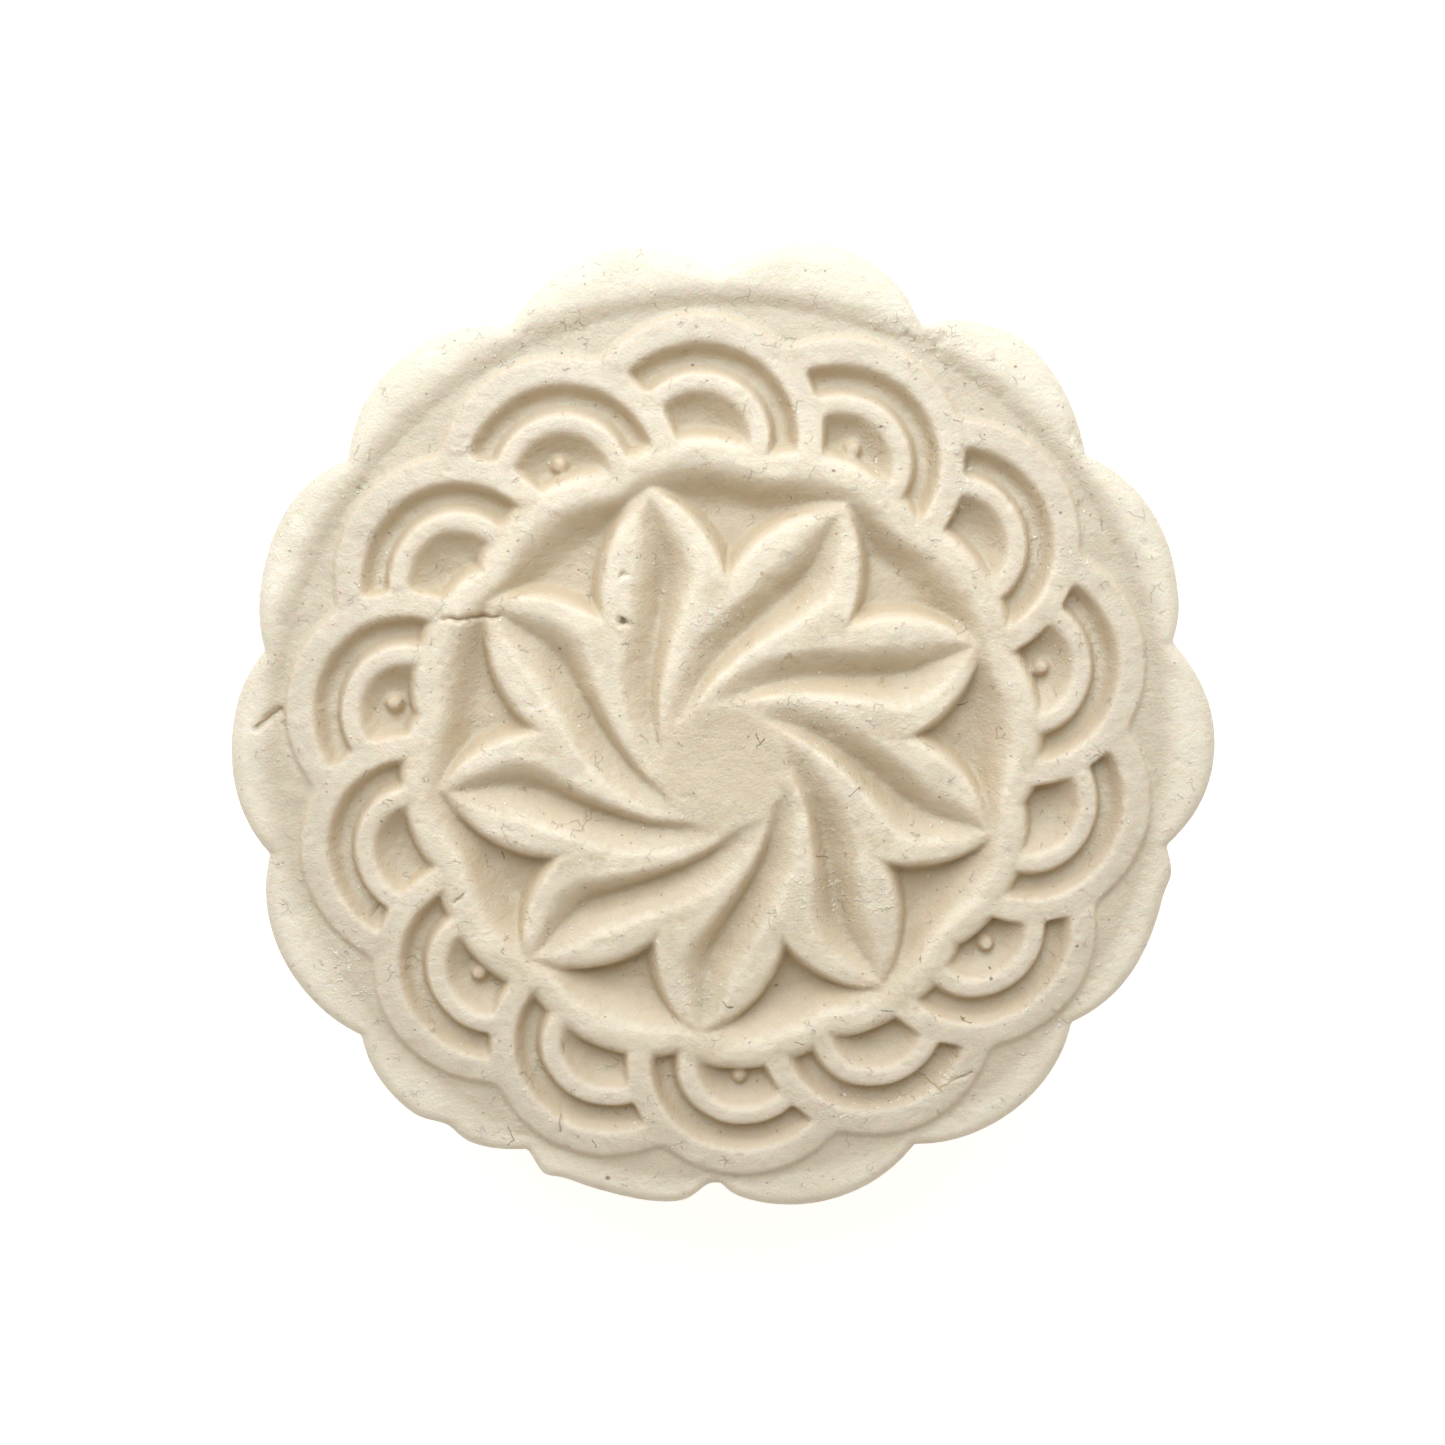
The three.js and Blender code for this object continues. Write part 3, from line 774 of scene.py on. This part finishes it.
def rim_paling_and_edge_shade(graph, colour, patches, flat):
    """Greyer and drier towards the rim. The rim is painted paler, partly a dry whitish skin and partly
    painted highlight; the rounded edge and the side are painted darker as painted shade.
    """
    radius = graph.vector("LENGTH", flat, output="Value")
    colour = graph.mix(graph.ramp(radius, 18.0, 28.0, 0.0, 0.6), colour, SOAP_DRY)
    # Painted highlight on the rim, partly a dry whitish skin.
    rim_skin_and_highlight = graph.math("MULTIPLY", graph.ramp(radius, 28.2, 30.2), graph.ramp(patches, 0.3, 0.6, 0.6, 0.9))
    colour = graph.mix(rim_skin_and_highlight, colour, SOAP_CHALK_AND_RIM_HIGHLIGHT)
    # Painted shade: the rounded edge and the side are darkened.
    edge_shade = graph.math("MULTIPLY", graph.stored("edge"), graph.ramp(patches, 0.3, 0.6, 0.95, 0.75))
    return graph.mix(edge_shade, colour, SOAP_EDGE_SHADE)


def side_streaks(graph, level):
    """Mask of the side, and of the streaks the press cup drew down it."""
    side = graph.ramp(level, CREST_HEIGHT - SIDE_START, CREST_HEIGHT - SIDE_FULL)
    stretched = graph.vector("MULTIPLY", graph.point, (1, 1, STREAK_STRETCH))
    return side, graph.math("MULTIPLY", side, graph.noise(0.9, 3.0, 0.6, stretched)["Fac"])


def side_and_wall_shade(graph, colour, side, streaks):
    """The side's colour with its streaks, and painted shade on the steep walls of the relief: a warm darker
    tint.
    """
    colour = graph.mix(graph.math("MULTIPLY", side, 0.7), colour, SOAP_SIDE)
    colour = graph.mix(graph.ramp(streaks, 0.48, 0.75, 0.0, 0.22), colour, SOAP_STREAK_AND_WALL_SHADE)
    # Painted shade: a warm dark tint on the steep walls.
    return graph.mix(graph.ramp(graph.stored("steep"), 0.4, 1.6, 0.0, 0.5), colour, SOAP_STREAK_AND_WALL_SHADE)


def powder_mask(graph, flat):
    """Scattered white dots, and flecks that lie close in the chalky places."""
    chalky = most(graph, [graph.line(flat, *stretch) for stretch in CHALKY])
    flecks = graph.math("MULTIPLY", chalky, graph.ramp(graph.noise(0.35, 2.0)["Fac"], 0.59, 0.67))
    return graph.math("MAXIMUM", graph.dots(0.8, 0.16, 0.16), flecks)


def fissure_mask(graph):
    """Short dry fissures in some places."""
    dry = graph.ramp(graph.noise(1.3, 2.0)["Fac"], 0.6, 0.68)
    return graph.math("MULTIPLY", graph.ramp(graph.fissures(1.1), 0.01, 0.03, 1.0, 0.0), dry)


def marked(graph, colour, flat, level):
    """Dark cracks, specks and lint on the top."""
    wobble = graph.vector("SUBTRACT", graph.noise(1.1, 2.0)["Color"], (0.5, 0.5, 0.5))
    ragged = graph.vector("ADD", flat, graph.vector("MULTIPLY", wobble, (0.5, 0.5, 0)))
    curled = graph.vector("ADD", flat, graph.vector("MULTIPLY", wobble, (0.9, 0.9, 0)))
    on_top = graph.ramp(level, CREST_HEIGHT - MARKS_END, CREST_HEIGHT - MARKS_FULL)
    cracks = most(graph, [graph.line(ragged, start, end, width * 0.45) for start, end, width, _ in CRACKS])
    colour = graph.mix(graph.math("MULTIPLY", cracks, graph.math("MULTIPLY", on_top, 0.75)), colour, PORE)
    specks = []
    for centre, size in SPECKS:
        distance = graph.vector("DISTANCE", ragged, (*place(*centre), 0), output="Value")
        specks.append(graph.ramp(distance, size * 0.6, size * 1.3, 1.0, 0.0))
    lint = most(graph, specks + [graph.line(curled, *fibre) for fibre in LINT])
    return graph.mix(graph.math("MULTIPLY", lint, graph.math("MULTIPLY", on_top, 0.65)), colour, DIRT)


def bumpy_normal(graph, grain, masks):
    """Normal of the grain, with masks that rise from it, or sink where the share is negative."""
    fine = graph.noise(0.16, 3.0, 0.6)["Fac"]
    bumps = graph.math("ADD", graph.math("MULTIPLY", fine, 0.6), grain)
    for mask, share in masks:
        bumps = graph.math("ADD", bumps, graph.math("MULTIPLY", mask, share))
    bump = graph.tree.nodes.new("ShaderNodeBump")
    bump.inputs["Strength"].default_value = 1.0
    bump.inputs["Distance"].default_value = BUMP_HEIGHT * MM
    graph.connect(bumps, bump.inputs["Height"])
    return bump.outputs["Normal"]


def soap_material():
    material = bpy.data.materials.new("pressed_soap")
    material.use_nodes = True
    shader = material.node_tree.nodes["Principled BSDF"]
    graph = Graph(material.node_tree)

    patches = graph.noise(5.0, 3.0)["Fac"]
    grain = graph.noise(0.5, 4.0, 0.65)["Fac"]
    flat = graph.vector("MULTIPLY", graph.point, (1, 1, 0))
    level = graph.vector("DOT_PRODUCT", graph.point, (0, 0, 1), output="Value")
    side, streaks = side_streaks(graph, level)
    powder = powder_mask(graph, flat)
    pores = graph.dots(0.62, 0.2, 0.13)
    crumbs = graph.dots(2.7, 0.16, 0.06)
    fissures = fissure_mask(graph)

    colour = rim_paling_and_edge_shade(graph, pressed_colour(graph, patches, grain), patches, flat)
    colour = side_and_wall_shade(graph, colour, side, streaks)
    spots = ((powder, 0.75, SOAP_CHALK_AND_RIM_HIGHLIGHT), (pores, 0.5, PORE), (crumbs, 0.7, CRUMB), (fissures, 0.22, PORE))
    for mask, share, paint in spots:
        colour = graph.mix(graph.math("MULTIPLY", mask, share), colour, paint)
    graph.connect(marked(graph, colour, flat, level), shader.inputs["Base Color"])

    graph.connect(graph.ramp(grain, 0.3, 0.7, 0.5, 0.7), shader.inputs["Roughness"])
    relief = ((streaks, 2.0), (pores, -1.2), (powder, 0.6), (fissures, -0.8))
    graph.connect(bumpy_normal(graph, grain, relief), shader.inputs["Normal"])
    shader.inputs["Subsurface Weight"].default_value = GLOW_SHARE
    shader.inputs["Subsurface Radius"].default_value = GLOW_REACH
    shader.inputs["Subsurface Scale"].default_value = GLOW_SCALE * MM
    return material


def plain_material(name, colour, roughness, glow):
    material = bpy.data.materials.new(name)
    material.use_nodes = True
    shader = material.node_tree.nodes["Principled BSDF"]
    shader.inputs["Base Color"].default_value = (*colour, 1)
    shader.inputs["Roughness"].default_value = roughness
    shader.inputs["Emission Color"].default_value = (1, 1, 1, 1)
    shader.inputs["Emission Strength"].default_value = glow
    return material


# ---------------------------------------------------------------- stage

CAMERA_DISTANCE = 124.17
CAMERA_TILT = 9.22 * DEG
CAMERA_AZIMUTH = 99.5 * DEG
CAMERA_ROLL = -0.3 * DEG
VIEW_WIDTH = 91.01
SENSOR_WIDTH = 36
VIEW_SHIFT = (-0.0005, 0.0279)

# Stage, in metres and watts
FLOOR_CORNERS = 48
FLOOR_REACH = 1.5
BACKDROP_HEIGHT = 0.65
FLOOR_COLOUR = (0.6, 0.6, 0.6)
FLOOR_ROUGHNESS = 0.8
FLOOR_GLOW = 0.75
FILL_COLOUR = (1, 0.72, 0.43, 1)
FILL_STRENGTH = 0.3
KEY_COLOUR = (0.93, 0.965, 1)
KEY_AZIMUTH = 97 * DEG
KEY_ELEVATION = 50 * DEG
KEY_DISTANCE = 0.25
KEY_SIZE = 0.19
KEY_POWER = 0.63


def make_camera():
    outward = Vector((
        math.sin(CAMERA_TILT) * math.cos(CAMERA_AZIMUTH),
        math.sin(CAMERA_TILT) * math.sin(CAMERA_AZIMUTH),
        math.cos(CAMERA_TILT),
    ))
    up_hint = Vector((-math.sin(CAMERA_ROLL), math.cos(CAMERA_ROLL), 0))
    right = up_hint.cross(outward).normalized()
    up = outward.cross(right)
    camera = bpy.data.objects.new("camera", bpy.data.cameras.new("camera"))
    target = Vector((*RELIEF_CENTRE, CREST_HEIGHT)) * MM
    camera.matrix_world = Matrix.Translation(target + outward * CAMERA_DISTANCE * MM) @ Matrix(
        (right, up, outward)
    ).transposed().to_4x4()
    camera.data.sensor_width = SENSOR_WIDTH
    camera.data.lens = SENSOR_WIDTH * CAMERA_DISTANCE / VIEW_WIDTH
    camera.data.shift_x, camera.data.shift_y = VIEW_SHIFT
    camera.data.clip_start = 0.01
    bpy.context.collection.objects.link(camera)
    bpy.context.scene.camera = camera


def make_floor():
    """A round pale floor that turns up into a low wall far behind the puck, on every side."""
    corners = np.arange(FLOOR_CORNERS) * TURN / FLOOR_CORNERS
    ring = np.stack([np.cos(corners), np.sin(corners)], 1) * FLOOR_REACH
    low, high = (np.column_stack([ring, np.full(FLOOR_CORNERS, level)]) for level in (0, BACKDROP_HEIGHT))
    walls = []
    for here in range(FLOOR_CORNERS):
        following = (here + 1) % FLOOR_CORNERS
        walls.append((following, here, FLOOR_CORNERS + here, FLOOR_CORNERS + following))
    mesh = bpy.data.meshes.new("floor")
    mesh.from_pydata([tuple(p) for p in (*low, *high)], [], [tuple(range(FLOOR_CORNERS)), *walls])
    floor = bpy.data.objects.new("floor", mesh)
    mesh.materials.append(plain_material("pale_floor", FLOOR_COLOUR, FLOOR_ROUGHNESS, FLOOR_GLOW))
    bpy.context.collection.objects.link(floor)


def make_key_light():
    data = bpy.data.lights.new("key", "AREA")
    data.color = KEY_COLOUR
    data.size = KEY_SIZE
    data.energy = KEY_POWER
    light = bpy.data.objects.new("key", data)
    direction = Vector((
        math.cos(KEY_ELEVATION) * math.cos(KEY_AZIMUTH),
        math.cos(KEY_ELEVATION) * math.sin(KEY_AZIMUTH),
        math.sin(KEY_ELEVATION),
    ))
    light.location = direction * KEY_DISTANCE
    light.rotation_euler = direction.to_track_quat("Z", "Y").to_euler()
    bpy.context.collection.objects.link(light)


def make_studio():
    world = bpy.data.worlds.new("studio")
    bpy.context.scene.world = world
    world.use_nodes = True
    background = world.node_tree.nodes["Background"]
    background.inputs["Color"].default_value = FILL_COLOUR
    background.inputs["Strength"].default_value = FILL_STRENGTH
    make_key_light()
    bpy.context.scene.view_settings.view_transform = "Standard"


# ---------------------------------------------------------------- build

rng = np.random.default_rng(SEED)
surface = weathered(relief_map(), rng)
puck = bpy.data.objects.new("pressed_soap_puck", mesh_from("pressed_soap_puck", *puck_mesh(surface, rng)))
bpy.context.collection.objects.link(puck)
thinned(puck)
mark_relief(puck, surface)
puck.data.materials.append(soap_material())
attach(puck, "root")
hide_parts("soap_puck")

make_camera()
make_floor()
make_studio()
